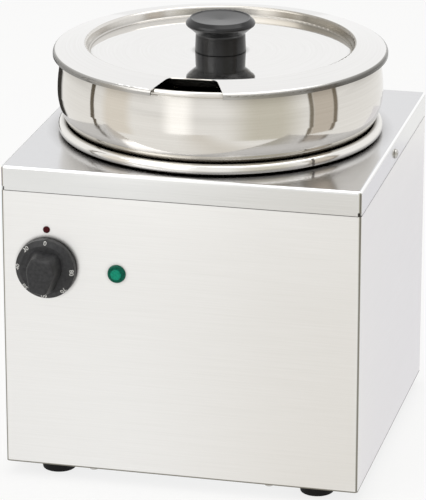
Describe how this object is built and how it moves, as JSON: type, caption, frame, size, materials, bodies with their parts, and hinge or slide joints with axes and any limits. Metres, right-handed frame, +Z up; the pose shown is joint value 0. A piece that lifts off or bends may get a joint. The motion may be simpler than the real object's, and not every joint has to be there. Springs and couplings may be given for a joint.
{
  "type": "soup kettle",
  "caption": "Square stainless water-bath kettle with a round lift-out pot, a notched lift-off lid with a black knob, and a front thermostat dial.",
  "frame": {"origin": "on the floor, at the middle of the four feet", "axes": "+Z up, the front panel with the dial faces -Y, +X to the right seen from the front"},
  "size_m": [0.2744, 0.3014, 0.331],
  "materials": {
    "brushed_steel": "brushed stainless sheet",
    "polished_steel": "mirror-polished stainless",
    "zinc_steel": "zinc-plated sheet",
    "screw_steel": "bright stainless screws",
    "black_plastic": "satin moulded phenolic",
    "rubber": "moulded rubber",
    "green_lens": "green translucent lens",
    "red_pip": "dark red pip",
    "aluminium": "rolled plate",
    "element": "tube element sheath",
    "copper": "capillary and bulb",
    "ceramic": "glazed ceramic",
    "brass": "turned brass",
    "white_ink": "white printing ink, used by the dial's numbers",
    "grey_plastic": "moulded nylon"
  },
  "bodies": {
    "housing": {"housing_wrap": "brushed_steel", "rear_panel": "brushed_steel", "base_plate": "zinc_steel", "top_cover": "brushed_steel", "foot_front_left": "rubber", "foot_front_right": "rubber", "foot_rear_left": "rubber", "foot_rear_right": "rubber", "water_well": "polished_steel", "thermostat_body": "ceramic", "thermostat_screws": "screw_steel", "capillary_sensor": "copper", "bulb_clips": "zinc_steel", "lamp_lens": "green_lens", "lamp_barrel": "grey_plastic", "lamp_clip": "zinc_steel", "index_pip": "red_pip", "heater_plate": "aluminium", "heater_element": "element", "heater_clamp": "zinc_steel", "heater_stud": "screw_steel", "heater_nut": "screw_steel", "safety_cutout": "ceramic", "cable_gland": "grey_plastic", "gland_locknut": "grey_plastic", "terminal_block": "grey_plastic", "earth_screw": "brass", "cover_screws": "screw_steel", "rear_screws": "screw_steel", "base_screws": "screw_steel", "foot_screws": "screw_steel", "foot_nuts": "screw_steel"},
    "dial": {"thermostat_dial": "black_plastic", "thermostat_shaft": "brass"},
    "pot": {"pot": "polished_steel"},
    "lid": {"lid": "polished_steel", "lid_knob": "black_plastic", "lid_knob_washer": "screw_steel", "lid_knob_screw": "screw_steel"}
  },
  "joints": [
    {"name": "dial_turn", "type": "hinge", "parent": "housing", "child": "dial", "pos_m": [-0.1005, -0.1312, 0.1685], "axis": [0, 1, 0], "range_deg": [0, 264]},
    {"name": "pot_lift", "type": "slide", "parent": "housing", "child": "pot", "axis": [0, 0, 1], "range_m": [0, 0.25]},
    {"name": "lid_lift", "type": "slide", "parent": "pot", "child": "lid", "axis": [0, 0, 1], "range_m": [0, 0.12]}
  ]
}
